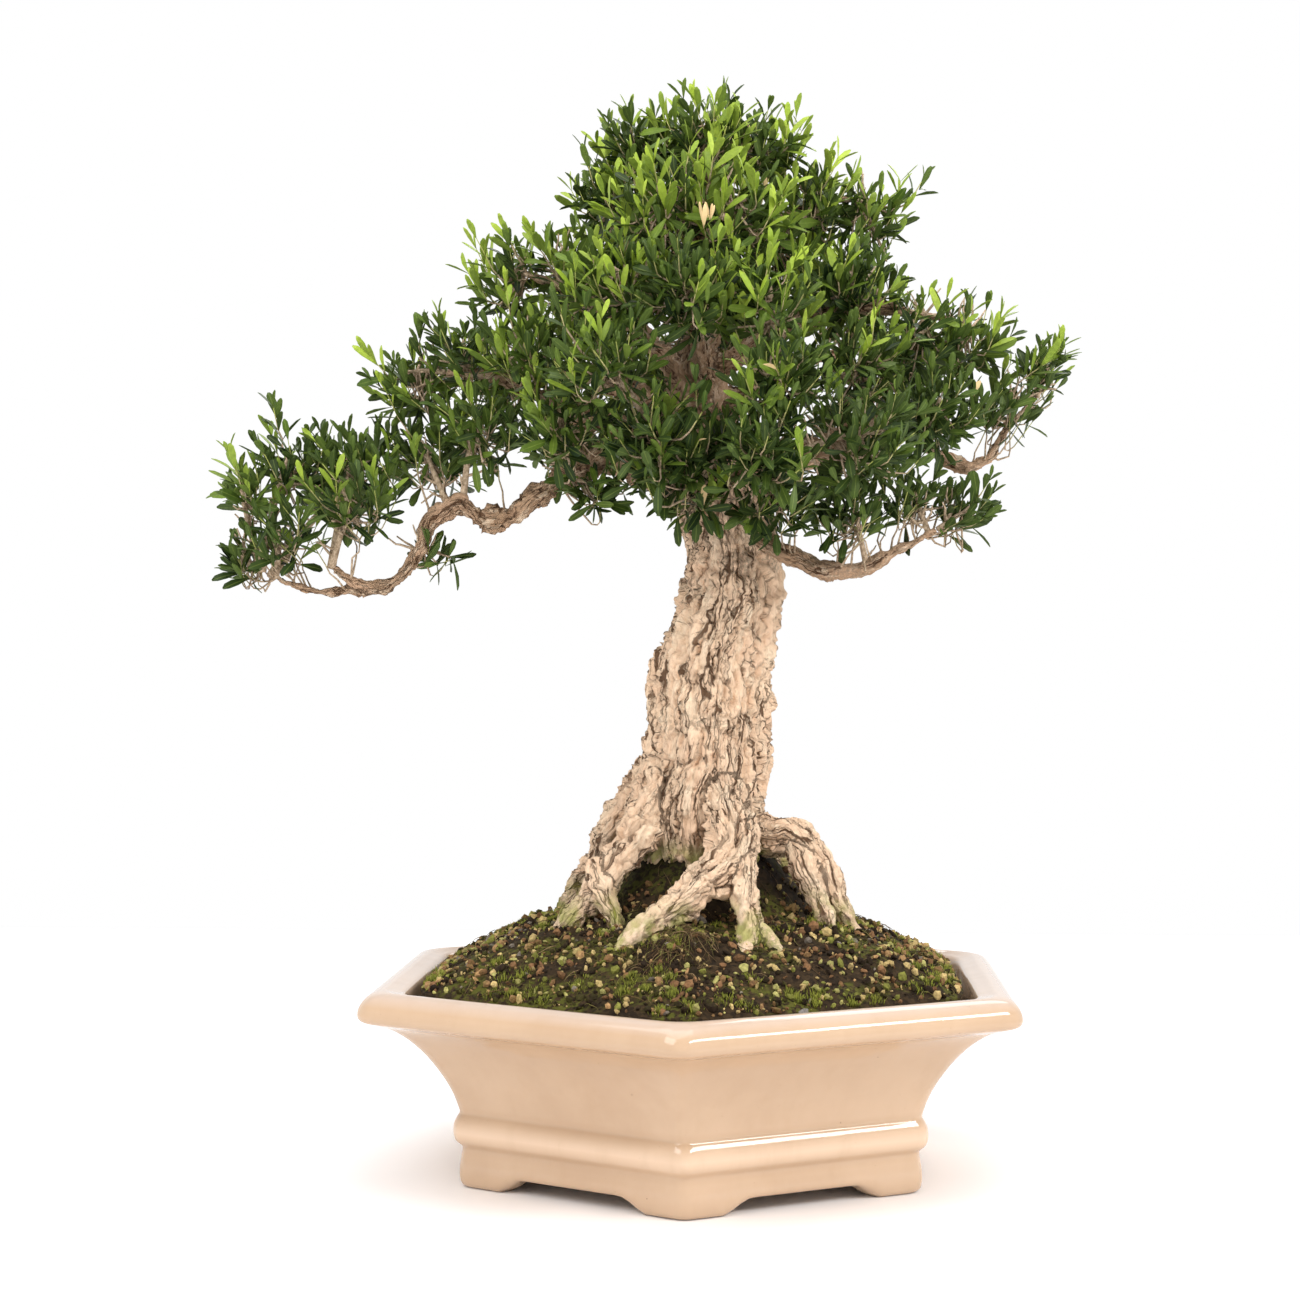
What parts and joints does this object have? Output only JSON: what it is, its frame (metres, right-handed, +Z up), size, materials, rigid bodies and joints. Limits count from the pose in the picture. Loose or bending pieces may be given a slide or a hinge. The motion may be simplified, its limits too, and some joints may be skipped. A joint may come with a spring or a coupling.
{
  "type": "chinese boxwood bonsai tree",
  "caption": "Upright boxwood bonsai: fissured flared trunk on spreading roots, spreading crown of narrow spoon-shaped leaves, mounded mossy soil in a cream glazed hexagonal pot on low feet",
  "frame": {"origin": "On the ground under the middle of the whole plant's outline, at the level of the pot's feet.", "axes": "+Z is up. +X is to the right as the picture shows the tree, and -Y is the side that faces the viewer, with a corner of the pot."},
  "size_m": [0.5651, 0.46, 0.7137],
  "materials": {
    "glaze": "glossy cream glaze",
    "mesh": "matte",
    "earth": "rough granular",
    "bark": "rough fissured bark",
    "leaves": "satin leaf"
  },
  "bodies": {
    "root": {"drain_screen_1": "mesh", "drain_screen_2": "mesh", "pot": "glaze", "soil": "earth", "spray_back_left_1": "leaves", "spray_back_low_1": "leaves", "spray_back_low_2": "leaves", "spray_back_low_3": "leaves", "spray_back_right_1": "leaves", "spray_back_right_2": "leaves", "spray_back_upper_1": "leaves", "spray_back_upper_2": "leaves", "spray_front_lower_1": "leaves", "spray_front_lower_2": "leaves", "spray_front_middle_1": "leaves", "spray_front_middle_2": "leaves", "spray_front_middle_3": "leaves", "spray_front_right_1": "leaves", "spray_front_right_2": "leaves", "spray_front_upper_1": "leaves", "spray_front_upper_2": "leaves", "spray_leader_1": "leaves", "spray_leader_2": "leaves", "spray_leader_3": "leaves", "spray_low_runner_1": "leaves", "spray_low_runner_2": "leaves", "spray_low_runner_3": "leaves", "spray_lower_left_1": "leaves", "spray_lower_left_2": "leaves", "spray_lower_left_3": "leaves", "spray_lower_left_4": "leaves", "spray_lower_left_5": "leaves", "spray_lower_left_6": "leaves", "spray_lower_left_7": "leaves", "spray_middle_left_1": "leaves", "spray_middle_left_2": "leaves", "spray_middle_left_3": "leaves", "spray_middle_left_4": "leaves", "spray_middle_left_5": "leaves", "spray_right_lower_1": "leaves", "spray_right_lower_2": "leaves", "spray_right_lower_3": "leaves", "spray_right_lower_4": "leaves", "spray_right_middle_1": "leaves", "spray_right_middle_2": "leaves", "spray_right_middle_3": "leaves", "spray_right_upper_1": "leaves", "spray_right_upper_2": "leaves", "spray_right_upper_3": "leaves", "spray_right_upper_4": "leaves", "spray_shoulder_left_1": "leaves", "spray_shoulder_left_2": "leaves", "spray_shoulder_left_3": "leaves", "spray_top_left_1": "leaves", "spray_top_left_2": "leaves", "spray_top_left_3": "leaves", "spray_top_right_1": "leaves", "spray_top_right_2": "leaves", "spray_top_right_3": "leaves", "tree_wood": "bark"}
  },
  "joints": []
}
